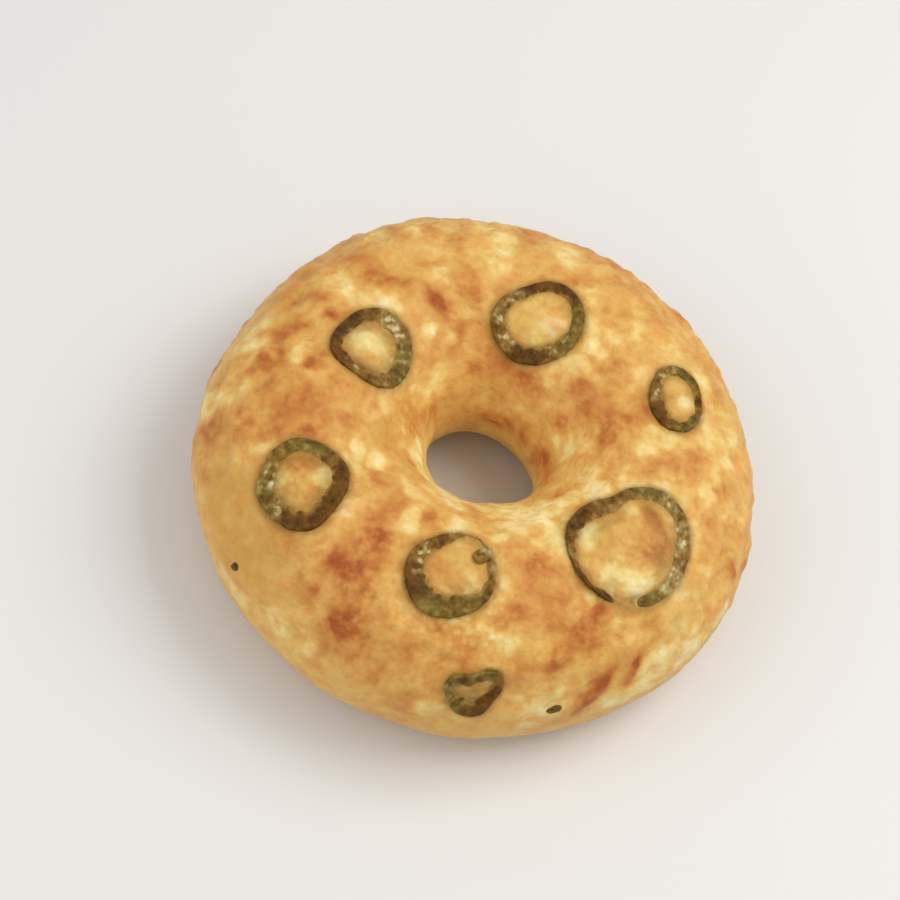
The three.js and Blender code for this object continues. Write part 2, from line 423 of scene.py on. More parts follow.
# Patches are around, over, length and width (mm), turn of the length from along, and strength.
# Each group is sorted by around. Relief is height, pattern, the pattern's size and its detail.
crust = {
    "stepsAround": 500,
    "stepsOver": 190,
    "crowding": 0.35,
    "perDegree": 0.36,  # millimetres of skin for each degree of over
    "cheeseEdge": (7 * mm, 24 * mm),  # from smooth side to craggy top
    "calmEdge": (-0.2 * mm, 1.6 * mm),  # past a slice, from calm to lively
    "ringSearch": 12 * mm,  # past a slice, where it has no effect any more
    "outerSeep": 0.85 * mm,  # how far juice stains the cheese outside a ring
    "swells": (1.0 * mm, "CLOUDS", 5 * mm, 1),
    "ripples": (0.5 * mm, "CLOUDS", 2.2 * mm, 0),
    "pits": (-0.55 * mm, "VORONOI", 2.8 * mm),
    "flakes": (0.7 * mm, "CLOUDS", 1.4 * mm, 1),
    "bubbles": (-0.5 * mm, "VORONOI", 1.5 * mm),
    "crispRise": 0.2 * mm,
    "creep": 0.5 * mm,  # how far the cheese swells against the slices
    "browned": [
        # -180 to -120, about the left_front slice
        (-174, 79, 4, 3.4, 20, 0.9), (-173, 58, 6, 5, 60, 0.95), (-170, 144, 8, 6, 0, 0.5),
        (-170, 28, 5, 3.4, 70, 0.5), (-165, 63, 8, 4, 0, 0.65), (-158, 82, 15, 19, 0, 0.5),
        (-158, 30, 11, 6, 72, 0.75), (-157, 73, 9, 8, 60, 0.7), (-155, 100, 8, 5, 80, 0.6),
        (-150, 81, 4, 4, 0, 0.85), (-148, 24, 9, 2.6, 80, 0.4), (-142, 126, 17, 5, 0, 0.35),
        (-141, 71, 6, 4.4, 80, 0.75), (-136, 69, 4, 3, 0, 0.5), (-136, 66, 5, 4, 0, 0.5),
        (-132, 72, 4, 3, 0, 0.6), (-127, 103, 4.4, 3.4, 0, 0.8), (-126, 52, 7, 4, 0, 0.4),
        # -120 to -60, about the front slice
        (-120, 19, 4, 3, 80, 0.4), (-114, 97, 10, 5, 92, 0.65), (-113, 42, 5, 4.4, 0, 0.8),
        (-112, 71, 9, 6, 90, 0.55), (-112, 61, 8, 6, 20, 1.0), (-110, 74, 7, 6, 90, 0.75),
        (-109, 82, 5, 4, 0, 0.9), (-105, 22, 9, 3.4, 86, 0.65), (-104, 54, 7, 5, 110, 0.7),
        (-104, 41, 8, 7, 90, 1.0), (-102, 109, 4, 3, 60, 0.85), (-100, 76, 12, 4, 95, 0.25),
        (-96, 52, 6, 4, 0, 0.5), (-93, 24, 7, 3, 85, 0.75), (-90, 85, 6, 4, 0, 0.5),
        (-90, 46, 9, 4.4, 0, 0.5), (-87, 80, 6, 4, 0, 0.45), (-87, 12, 10, 6, 80, 0.4),
        (-84, 36, 4.4, 3.4, 80, 0.55), (-82, 126, 6, 4, 0, 0.55), (-78, 50, 10, 5, 0, 0.55),
        (-68, 69, 8, 3.6, 0, 0.65), (-65, 42, 6, 4.4, 60, 0.55), (-64, 92, 4, 4, 0, 0.6),
        # -60 to 0, about the right_front slice
        (-60, 87, 12, 10, 90, 0.45), (-59, 92, 5, 4, 0, 0.8), (-58, 44, 6, 4.4, 20, 0.85),
        (-57, 66, 8, 7, 90, 0.6), (-54, 113, 4, 2.6, 0, 0.45), (-50, 60, 8, 3.4, 40, 0.8),
        (-48, 20, 14, 3, 51, 0.9), (-45, 84, 5, 3.6, 90, 0.65), (-39, 29, 7, 2.4, 60, 0.95),
        (-32, 50, 4, 2.4, 90, 0.35), (-30, 92, 9, 4, 0, 0.4), (-26, 133, 5, 4, 60, 0.65),
        (-22, 78, 8, 5, 90, 0.5), (-18, 153, 9, 6, 0, 0.35), (-14, 86, 9, 3.6, 64, 0.85),
        (-14, 83, 5, 4, 90, 0.75), (-8, 54, 13, 5, 0, 0.3), (-4, 164, 6, 6, 0, 0.7),
        # 0 to 60, about the right_back slice
        (2, 105, 6, 3.4, 95, 0.75), (7, 84, 6, 5, 90, 0.55), (8, 52, 7, 6, 60, 0.4),
        (12, 164, 7, 6, 0, 0.6), (13, 77, 4, 4, 0, 0.6), (18, 122, 6, 4.4, 0, 0.8),
        (28, 168, 8, 5, 50, 0.8), (28, 117, 9, 7, 40, 0.7), (31, 98, 5, 4, 0, 0.85),
        (38, 55, 12, 4, 0, 0.45), (41, 145, 3.4, 3, 0, 0.75), (41, 128, 6, 4.4, 20, 0.7),
        (42, 103, 8, 4, 0, 0.4), (44, 124, 7, 7, 0, 0.55), (50, 107, 6, 5, 60, 0.45),
        (52, 160, 5, 4, 0, 0.3), (52, 153, 8, 5, 0, 0.55), (53, 126, 6, 5, 150, 0.8),
        # 60 to 120, about the back slice
        (62, 168, 9, 7, 0, 0.45), (68, 84, 7, 7, 90, 0.4), (70, 56, 8, 4, 90, 0.4),
        (72, 143, 6, 4, 0, 0.6), (83, 149, 9, 5, 0, 0.5), (83, 79, 7, 4, 0, 0.45),
        (84, 143, 7, 4, 0, 0.7), (88, 175, 9, 5, 0, 0.8), (93, 92, 4, 3, 0, 0.4),
        (100, 58, 11, 4, 88, 0.6), (107, 143, 10, 4.4, 10, 0.6), (114, 168, 8, 5, 0, 0.3),
        (115, 150, 12, 6, 0, 0.4), (115, 125, 4.4, 4, 0, 0.45), (118, 143, 5, 4, 0, 0.7),
        (118, 106, 4.4, 3.4, 90, 0.6),
        # 120 to 180, about the left slice
        (120, 80, 17, 4.4, 90, 0.45), (125, 55, 6, 3, 90, 0.5), (127, 125, 3.4, 2.4, 0, 0.5),
        (133, 134, 4.4, 3.4, 0, 0.55), (133, 82, 4.4, 3, 80, 0.5), (134, 108, 9, 3.2, 106, 0.95),
        (134, 54, 5, 4, 80, 0.55), (145, 164, 14, 9, 0, 0.5), (146, 84, 9, 3.4, 138, 0.85),
        (147, 61, 9, 7, 80, 0.5), (149, 76, 4.4, 3.4, 0, 0.85), (150, 130, 7, 3.4, 0, 0.45),
        (158, 43, 6, 4, 80, 0.55), (165, 66, 5, 4, 80, 0.65), (167, 42, 7, 5, 70, 0.5),
        (168, 76, 4.4, 3.6, 60, 1.0), (177, 62, 9, 4.4, 150, 0.75), (179, 154, 8, 6, 0, 0.7),
        # touched up at places where a render differed from the photo
        (-166, 101, 6, 5, 0, 0.4), (-156, 89, 5, 4, 0, 0.7), (-156, 50, 7, 5, 0, 0.7),
        (-155, 67, 7, 6, 0, 0.75), (-126, 48, 6, 4, 0, 0.7), (-108, 72, 6, 6, 0, 0.45),
        (-85, 59, 5, 4, 0, 0.7), (-84, -9, 12, 5, 0, 0.4), (-78, 64, 4, 3.4, 0, 0.5),
        (-61, 28, 5, 4, 0, 0.4), (-56, 48, 6, 5, 0, 0.85), (-49, 52, 6, 5, 0, 0.8),
        (-47, 58, 5, 4, 0, 0.9), (-45, 63, 5, 3, 0, 0.8), (-45, 59, 5, 4, 0, 0.5),
        (-44, 48, 4, 3.4, 0, 0.5), (-42, 36, 5, 4, 0, 0.4), (-5, 58, 5, 4, 0, 0.5),
        (3, 107, 5, 4, 0, 0.7), (25, 115, 5, 4, 0, 0.9), (58, 137, 6, 5, 0, 0.45),
        (73, 152, 7, 5, 0, 0.55), (110, 145, 6, 4, 0, 0.75), (111, 98, 4, 4, 0, 0.3),
        (135, 144, 7, 5, 0, 0.4), (136, 83, 5, 4, 0, 0.5), (137, 82, 5, 5, 0, 0.3),
        (148, 104, 5, 4, 0, 0.3),
    ],
    "creamy": [
        # -180 to -120, about the left_front slice
        (-177, 72, 3, 2.6, 0, 1.0), (-177, 46, 8, 5, 90, 0.55), (-170, 18, 9, 6, 0, 0.4),
        (-167, 120, 7, 5, 0, 0.6), (-166, 48, 4, 3, 90, 0.5), (-165, 34, 6, 4, 80, 0.5),
        (-163, 114, 7, 4, 0, 0.5), (-157, 45, 6, 5, 0, 0.5), (-150, 146, 6, 4, 0, 0.8),
        (-148, 56, 6, 3, 90, 0.45), (-139, 101, 7, 3, 160, 1.0), (-139, 63, 4, 3, 0, 0.95),
        (-134, 108, 5, 4, 90, 0.7), (-134, 79, 3.4, 3, 0, 0.75), (-130, 140, 14, 5, 0, 0.9),
        (-122, 82, 4.4, 3.4, 90, 0.9),
        # -120 to -60, about the front slice
        (-117, 12, 12, 9, 0, 0.45), (-115, 117, 7, 3.4, 0, 0.7), (-108, 125, 5, 3.4, 0, 0.6),
        (-106, 101, 8, 4.4, 90, 0.85), (-102, 134, 9, 5, 0, 0.8), (-88, 128, 14, 4, 0, 0.7),
        (-86, 76, 6, 3, 0, 0.3), (-83, 14, 6, 4, 90, 0.5), (-79, 80, 4, 3, 90, 0.4),
        (-71, 108, 3.4, 3, 0, 0.6), (-71, 54, 6, 4, 0, 0.55), (-68, 120, 6, 4, 0, 0.6),
        (-65, 56, 4, 4, 0, 0.4),
        # -60 to 0, about the right_front slice
        (-60, 19, 14, 9, 0, 0.6), (-55, 129, 16, 8, 0, 1.0), (-47, 113, 7, 3.4, 90, 0.95),
        (-46, 70, 3, 3, 0, 0.6), (-42, 50, 6, 5, 90, 0.5), (-38, 95, 4, 3, 0, 0.5),
        (-38, 46, 7, 5, 0, 0.5), (-38, 9, 8, 5, 0, 0.6), (-37, 77, 6, 5, 0, 0.7),
        (-36, 100, 6, 3.4, 30, 0.8), (-34, 72, 8, 5, 92, 0.65), (-32, 67, 7, 6, 0, 0.9),
        (-30, 20, 18, 10, 0, 0.6), (-29, 127, 8, 5, 0, 0.8), (-14, 118, 6, 4.4, 150, 0.95),
        (-14, 97, 5, 3, 0, 0.6), (-8, 76, 6, 7, 90, 0.5), (-6, 127, 5, 4, 0, 0.5),
        # 0 to 60, about the right_back slice
        (4, 68, 6, 4.4, 0, 0.6), (5, 40, 9, 5, 0, 0.4), (9, 62, 6, 4, 0, 0.5), (12, 103, 5, 4, 60, 0.8),
        (14, 140, 8, 6, 0, 0.5), (16, 92, 4.4, 4, 90, 0.6), (20, 66, 12, 4.6, 118, 0.45),
        (31, 79, 3.4, 3, 90, 0.7), (31, 53, 10, 4, 90, 0.4), (34, 154, 7, 2.6, 10, 0.5),
        (38, 64, 8, 3.6, 0, 0.6), (41, 101, 4.4, 3, 110, 0.6), (49, 70, 6, 4, 90, 0.4),
        # 60 to 120, about the back slice
        (63, 108, 6, 4, 0, 1.0), (64, 121, 5, 4.4, 0, 0.7), (66, 137, 4.4, 3.4, 0, 0.55),
        (77, 85, 5, 3.6, 90, 0.5), (82, 158, 6, 3, 0, 0.5), (84, 112, 6, 4, 0, 0.45),
        (89, 62, 8, 6, 90, 0.65), (90, 123, 4, 3, 0, 0.45), (103, 97, 4.4, 3, 0, 0.4),
        (108, 74, 13, 7, 90, 0.6),
        # 120 to 180, about the left slice
        (130, 90, 5, 4, 0, 0.6), (144, 118, 8, 3.4, 0, 0.75), (151, 96, 5, 3, 70, 0.7),
        (155, 144, 7, 4, 0, 0.45), (155, 92, 6, 6, 60, 0.85), (170, 138, 6, 4, 0, 0.5),
        (171, 101, 7, 6, 20, 0.75), (179, 121, 9, 4.4, 0, 0.7),
        # touched up at places where a render differed from the photo
        (-177, 75, 5, 4, 0, 0.6), (-175, 74, 5, 4, 0, 0.8), (-174, 50, 6, 4, 0, 0.45),
        (-171, 78, 4, 4, 0, 0.5), (-168, 86, 5, 4, 0, 0.45), (-168, 40, 5, 5, 0, 0.5),
        (-164, 20, 8, 5, 80, 0.6), (-155, 46, 6, 4, 0, 0.4), (-154, 48, 4, 4, 0, 0.3),
        (-149, 131, 6, 4, 0, 0.5), (-139, 95, 5, 3, 0, 0.6), (-129, 101, 5, 4, 0, 0.4),
        (-127, -4, 10, 6, 0, 0.5), (-126, 139, 9, 5, 0, 1.0), (-122, 60, 4, 3, 0, 0.4),
        (-118, 57, 4, 4, 0, 0.4), (-106, 13, 6, 5, 0, 0.6), (-99, 55, 6, 4, 0, 0.4),
        (-98, 72, 4, 4, 0, 0.6), (-92, 111, 6, 5, 0, 0.5), (-80, 62, 12, 3.4, 0, 0.4),
        (-80, 56, 4, 3, 0, 0.4), (-80, 17, 6, 5, 0, 0.4), (-73, 73, 4, 4, 0, 0.5),
        (-71, 86, 5, 4, 0, 0.5), (-70, 40, 5, 4, 0, 0.5), (-66, 42, 5, 4, 0, 0.3),
        (-60, 4, 6, 4, 0, 0.5), (-58, 116, 7, 5, 0, 0.7), (-51, 102, 7, 5, 0, 0.9),
        (-50, 92, 5, 4, 0, 0.5), (-50, 20, 5, 4, 0, 0.3), (-42, 6, 10, 8, 0, 0.7),
        (-41, 120, 6, 4, 0, 0.7), (-40, 113, 6, 5, 0, 0.4), (-22, 55, 6, 5, 0, 0.6),
        (-15, 17, 9, 6, 0, 0.5), (-14, 57, 6, 5, 0, 0.5), (-12, 57, 5, 4, 0, 0.4),
        (-10, 62, 6, 4, 0, 0.5), (-8, 37, 5, 4, 0, 0.3), (-6, 165, 8, 5, 0, 0.5),
        (-2, 106, 7, 5, 0, 0.9), (-2, 91, 6, 5, 0, 0.6), (3, 50, 6, 5, 0, 0.6), (5, 86, 5, 4, 0, 0.6),
        (16, 101, 5, 4, 0, 0.7), (16, 53, 5, 5, 0, 0.6), (23, 132, 6, 5, 0, 0.7),
        (24, 49, 6, 5, 0, 0.6), (25, 67, 6, 5, 0, 0.6), (42, 96, 5, 4, 0, 0.7), (44, 148, 6, 4, 0, 0.3),
        (61, 121, 6, 5, 0, 1.0), (61, 85, 5, 4, 0, 0.5), (62, 96, 5, 4, 0, 0.5), (65, 72, 5, 4, 0, 0.6),
        (66, 130, 5, 4, 0, 0.5), (70, 102, 6, 5, 0, 0.6), (70, 87, 5, 5, 0, 0.5),
        (112, 56, 6, 4, 0, 0.6), (120, 57, 5, 4, 0, 0.4), (132, 59, 6, 5, 0, 0.4),
        (136, 119, 5, 5, 0, 0.5), (138, 48, 6, 4, 0, 0.5), (150, 123, 5, 4, 0, 0.4),
        (156, 82, 5, 4, 0, 0.5), (157, 71, 11, 5.4, 70, 0.5), (177, 40, 7, 6, 0, 0.6),
    ],
    "tanned": [
        (-165, 127, 8, 3, 0, 0.5), (-154, 120, 4.4, 3.4, 0, 0.6), (-135, 34, 38, 14, 0, 0.8),
        (-128, 66, 9, 2.6, 60, 0.7), (-120, 128, 9, 4.4, 0, 0.6), (-76, 20, 12, 12, 0, 0.3),
        (-32, 93, 6, 5, 0, 0.7), (-26, 38, 6, 3, 90, 0.4), (30, 157, 7, 4, 20, 0.7),
        (33, 75, 5, 3, 0, 0.6), (69, 131, 5, 4, 0, 0.5), (150, 170, 16, 6, 0, 0.5),
        (163, 112, 6, 3, 110, 0.9),
        # touched up at places where a render differed from the photo
        (-129, 8, 8, 5, 0, 0.6),
    ],
    "stained": [
        (-134, 60, 5, 2.4, 0, 0.7), (-130, 62, 3, 2.4, 0, 0.5), (-129, 76, 5, 2, 60, 0.6),
        (-82, 75, 5, 2, 0, 0.8), (-80, 78, 5, 3, 0, 0.5), (-77.5, 96.3, 2.6, 2.6, 0, 0.9),
        (-76, 83, 3, 2, 90, 0.5), (-74, 26, 9, 6, 0, 1.0), (-39, 73, 4, 3, 0, 0.6),
        (-23, 68, 6, 3, 40, 0.8), (-21, 103, 9, 3.4, 10, 0.7), (-16, 76, 5, 2.6, 66, 0.6),
        (-12, 88, 9, 3.6, 64, 0.75), (36, 72, 3, 2, 0, 0.6), (79, 118, 5, 2.6, 120, 0.4),
        (163, 106, 4, 2.8, 0, 1.0), (167, 90, 3.4, 2, 0, 0.6), (174, 114, 4, 2.2, 60, 0.5),
    ],
    "bubbly": [
        (-136, 70, 9, 9, 0, 0.6), (-110, 76, 9, 6, 90, 0.6), (-104, 48, 12, 10, 90, 0.6),
        (-86, 74, 10, 4, 0, 0.8), (-82, 58, 20, 8, 0, 1.0), (-30, 78, 14, 12, 90, 0.6),
        (88, 113, 10, 10, 0, 0.35),
    ],
    "lumps": [  # around, over, size, height
        (-139, 62, 1.4 * mm, 0.5 * mm), (-134, 79, 1.5 * mm, 0.4 * mm), (-86, 84, 4 * mm, 0.5 * mm),
        (-28, 84, 7 * mm, 0.3 * mm), (31, 83, 2.4 * mm, 0.4 * mm), (88, 114, 4.5 * mm, 0.5 * mm),
        (166, 112, 1.5 * mm, 0.6 * mm), (172, 99, 3 * mm, 0.5 * mm),
    ],
    "hiddenPatches": 60,
    "wander": [(7 * mm, 3.1, 0.5), (2.8 * mm, 8.4, 0.35)],  # of a patch's edge: length, shift, amount
    "tones": [  # from scorched to melted
        (0, (166, 88, 40)), (0.12, (184, 108, 50)), (0.3, (205, 141, 69)), (0.55, (222, 173, 92)),
        (0.75, (231, 196, 118)), (0.9, (238, 210, 140)), (1, (244, 222, 166)),
    ],
    "side": (224, 184, 112),
    "tan": (200, 149, 66),
    "amber": (228, 150, 76),  # warm and yellow drifts across the cheese
    "straw": (222, 186, 100),
    "stain": (144, 106, 46),
}


def nearestRing(points):  # distance past a ring's edges, below 0 under it, and what it does there
    past = np.full(len(points), 1.0)  # a metre off
    inside, covered, stain = np.zeros((3, len(points)))
    for ring in pepperRings.values():
        origin, along, inward, out = frameAt(ring["around"], ring["over"])
        near = np.linalg.norm(points - origin, axis=1) < ring["size"] + crust["ringSearch"]
        offset = points[near] - origin
        alongBy, inwardBy = offset @ along, offset @ inward
        turn, radius = np.arctan2(inwardBy, alongBy), np.hypot(alongBy, inwardBy)
        skin, width = ringEdges(ring, turn)
        beyond = np.maximum(radius - skin, skin - width - radius)
        closer = beyond < past[near]
        past[near] = np.where(closer, beyond, past[near])
        within = 1 - smoothStep(radius - skin + width, -1 * mm, 0.5 * mm)
        inside[near] = np.maximum(inside[near], within)
        covered[near] = np.where(closer, coverShare(turn, ring), covered[near])
        reach = np.where(radius < skin - width / 2, ring["seep"], crust["outerSeep"])
        stain[near] = np.maximum(stain[near], np.exp(-(np.maximum(beyond, 0) / reach) ** 2))
    return past, inside, covered, stain


def patchField(points, around, over, patches, spread=1.0):  # the strongest patch at each point
    wander = sum(mottle(points, size, shift) * amount for size, shift, amount in crust["wander"])
    field = np.zeros(len(points))
    radius = np.hypot(points[:, 0], points[:, 1])
    for aroundAt, overAt, length, width, turn, strength in patches:
        sideways = np.radians((around - aroundAt + 180) % 360 - 180) * radius / mm
        upwards = (over - overAt) * crust["perDegree"]
        swing = radians(turn)
        lengthways = (sideways * cos(swing) + upwards * sin(swing)) / (length / 2)
        across = (upwards * cos(swing) - sideways * sin(swing)) / (width / 2)
        away = np.hypot(lengthways, across)
        field = np.maximum(field, strength * (1 - smoothStep(away / spread + wander, 0.3, 1.7)))
    return field


def hiddenPatches():  # the far side is browned like the near one
    chance = np.random.default_rng(5)
    for _ in range(crust["hiddenPatches"]):
        around, over = chance.uniform(-10, 190), chance.uniform(-15, 38)
        length = chance.uniform(4, 11)
        width = length * chance.uniform(0.35, 0.7)
        yield around, over, length, width, chance.uniform(60, 110), chance.uniform(0.3, 0.9)


def startCrust():  # a ring whose steps are finer on top, and where they lie on the bread
    middle = (bread["outerRadius"] + bread["holeRadius"]) / 2
    bpy.ops.mesh.primitive_torus_add(
        major_segments=crust["stepsAround"], minor_segments=crust["stepsOver"],
        major_radius=middle, minor_radius=middle / 2, generate_uvs=False)
    piece = bpy.context.object
    piece.name = "cheeseCrust"
    start = readPoints(piece)
    around = np.degrees(np.arctan2(start[:, 1], start[:, 0]))
    section = np.arctan2(start[:, 2], np.hypot(start[:, 0], start[:, 1]) - middle)
    over = np.degrees(section + crust["crowding"] * np.cos(section))
    return piece, around, np.where(over < -90, over + 360, over)


def followBread(piece, past):  # lies on the solid's swells, except close to the slices
    wrap = piece.modifiers.new("follow", "SHRINKWRAP")
    wrap.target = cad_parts["bagel"]
    wrap.wrap_method = "PROJECT"
    wrap.use_negative_direction = True
    wrap.use_positive_direction = True
    wrap.project_limit = 1.4 * mm
    wrap.vertex_group = weigh(piece, "clearOfRings", smoothStep(past, 0.4 * mm, 1.2 * mm))
    soften = piece.modifiers.new("soften", "SMOOTH")
    soften.factor = 0.5
    soften.iterations = 16
    applyAll(piece)


def addLumps(piece, skin, normals):
    points = readPoints(piece)
    for at, up, size, height in crust["lumps"]:
        away = np.linalg.norm(skin - breadPoint(at, up), axis=1) / size
        points += normals * (height * np.exp(-2 * away ** 2))[:, None]
    writePoints(piece, points)


def makeCrust():
    piece, around, over = startCrust()
    skin = breadPoint(around, over)
    writePoints(piece, skin)
    past, inside, covered, stain = nearestRing(skin)
    followBread(piece, past)

    cheese = smoothStep(skin[:, 2], *crust["cheeseEdge"])
    patches = crust["browned"] + list(hiddenPatches())
    browned = patchField(skin, around, over, patches)
    toasted = patchField(skin, around, over, patches, 2.0)
    creamy = patchField(skin, around, over, crust["creamy"]) * (1 - 0.5 * browned)
    tanned = patchField(skin, around, over, crust["tanned"])
    stain = np.maximum(stain, patchField(skin, around, over, crust["stained"]))
    bubbly = patchField(skin, around, over, crust["bubbly"])
    calm = smoothStep(past, *crust["calmEdge"])
    liveliness = (0.15 + 0.85 * cheese) * (0.2 + 0.8 * calm) * smoothStep(skin[:, 2], 0, 4 * mm)
    lively = weigh(piece, "lively", liveliness * (1 - 0.9 * smoothStep(over, 112, 145)))
    crisp = weigh(piece, "crisp", browned * calm * cheese)
    blistered = weigh(piece, "blistered", bubbly * calm)
    edge = np.exp(-((past - 0.3 * mm) / (0.8 * mm)) ** 2) * smoothStep(past, -0.4 * mm, 0.2 * mm)
    edge = edge * (0.6 + 0.4 * inside) + covered * smoothStep(1.5 * mm - past, 0, 1.2 * mm)
    hug = weigh(piece, "hug", edge)

    flat, normals = readPoints(piece), readNormals(piece)
    for relief in ("swells", "ripples", "pits"):
        displace(piece, lively, *crust[relief])
    ridges = ((readPoints(piece) - flat) * normals).sum(1) / (0.4 * mm)
    displace(piece, crisp, crust["crispRise"], middle=0)
    displace(piece, crisp, *crust["flakes"])
    displace(piece, blistered, *crust["bubbles"])
    displace(piece, hug, crust["creep"], middle=0)
    addLumps(piece, skin, normals)
    keepInside(piece)
    # the hole's wall: there the material paints in light, keeps the side's colour off and calms the
    # bumps
    hollow = smoothStep(over, 130, 165) * (1 - smoothStep(over, 200, 230))
    storeFields(piece, bubbly=bubbly, browned=browned, toasted=toasted, creamy=creamy, cheese=cheese,
                tanned=tanned, ridges=ridges, stain=stain, inside=inside, hollow=hollow)
    bpy.ops.object.shade_smooth()
    print("crust", len(skin), "points")
    return piece


def crustFinish():
    look = Recipe("bakedCheese", Subsurface_Weight=0.1, Subsurface_Scale=0.003,
                  Subsurface_Radius=(1.0, 0.5, 0.2), Specular_IOR_Level=0.15, Coat_Roughness=0.25)
    browned, toasted, creamy = [look.wear(name) for name in ("browned", "toasted", "creamy")]
    cheese, ridges, stain = [look.wear(name) for name in ("cheese", "ridges", "stain")]
    tanned, bubbly = [look.wear(name) for name in ("tanned", "bubbly")]
    hollow, inside = [look.wear(name) for name in ("hollow", "inside")]
    broad, wide, patchy = look.mottle(13 * mm, 1), look.mottle(7 * mm, 1), look.mottle(3.2 * mm, 2)
    fine, grit = look.mottle(1.5 * mm, 1), look.mottle(0.6 * mm, 0)
    # bead-sized dots: bumps in the bubbly patches, and a painted highlight on each
    beadBumpsAndGlints = (0.62 - look.cells(1.5 * mm)).band(0, 0.4)
    islands = (browned + 0.2 * patchy + 0.08 * fine).band(0.25, 0.9)
    pools = (creamy + 0.2 * patchy - 0.1 * fine).band(0.2, 0.65)

    tone = 0.55 + 0.22 * creamy + 0.2 * pools - 0.14 * browned - 0.21 * toasted - 0.15 * islands
    # painted highlights: each bead in the bubbly patches is made lighter
    tone = tone + 0.18 * bubbly * beadBumpsAndGlints + 0.08 * wide + 0.12 * patchy
    tone = tone + 0.1 * islands * look.mottle(2.3 * mm, 2)
    tone = tone + (0.03 + 0.03 * cheese) * fine + 0.01 * grit + 0.03 * ridges
    colour = look.ramp(tone, crust["tones"])
    colour = look.blend((1 - cheese) * (1 - hollow) * 0.35, colour, paint(*crust["side"]))
    tan = (tanned + 0.35 * broad + 0.25 * patchy - creamy).band(0, 0.9)
    colour = look.blend(tan * 0.6, colour, paint(*crust["tan"]))
    amber = (look.mottle(5.6 * mm, 2) - 1.5 * toasted).band(0, 1.1)
    straw = (look.mottle(6.6 * mm, 2) - 1.5 * toasted).band(0, 1.1)
    colour = look.blend(amber * 0.55, colour, paint(*crust["amber"]))
    colour = look.blend(straw * 0.45, colour, paint(*crust["straw"]))
    # painted light in the hole: its wall is brightened, more in green and blue, for light bounced round
    # inside it; inside the rings the red is cut a little, the cheese's own tint
    red, green, blue = 1 + 0.25 * hollow - 0.05 * inside, 1 + 0.55 * hollow, 1 + 0.9 * hollow
    colour = look.shade(colour, red, green, blue)
    colour = look.blend(stain * (0.68 + 0.2 * fine), colour, paint(*crust["stain"]))

    height = (fine + 0.15 * grit + 0.8 * patchy + 0.8 * bubbly * beadBumpsAndGlints) * (1 - 0.75 * hollow)
    return look.finish(Base_Color=colour, Roughness=0.4 + 0.1 * browned + 0.04 * fine,
                       Coat_Weight=0.1 * creamy, Normal=look.bump(height, 0.22 * mm, 0.38))


slices = {
    "stepsAround": 200,
    "stepsAcross": 40,
    "proud": 0.95 * mm,
    "sunk": 0.9 * mm,
    "squareness": 0.5,  # below 1 the section has a flatter top than a circle
    "spread": -0.1 * mm,  # added to the skin's radius
    "waver": (0.22 * mm, 2.6 * mm),  # of the skin: how much, and its length
    "lobe": 2.8 * mm,  # length of a rounded lobe along the inner edge
    "scallop": 0.7 * mm,  # and its depth
    "fleshRelief": (0.35 * mm, "CLOUDS", 2 * mm, 1, 0.6),  # last is the tone that stays in place
    "pithRelief": (0.8 * mm, "CLOUDS", 1.1 * mm, 0, 0.6),
    "dull": [
        (0, (72, 46, 18)), (0.25, (100, 68, 26)), (0.45, (126, 92, 38)), (0.6, (147, 114, 56)),
        (0.8, (176, 152, 98)), (1, (208, 192, 152)),
    ],
    "fresh": [
        (0, (66, 50, 18)), (0.25, (94, 76, 28)), (0.45, (120, 100, 44)), (0.6, (142, 122, 62)),
        (0.8, (172, 156, 102)), (1, (206, 196, 156)),
    ],
    "inner": (168, 128, 62),
    "rust": (112, 66, 28),
    "film": (156, 108, 44),  # cheese that thinly covers the flesh
}


def squareOff(side):  # turns a circle's sine or cosine into a flatter section's
    return np.sign(side) * abs(side) ** slices["squareness"]


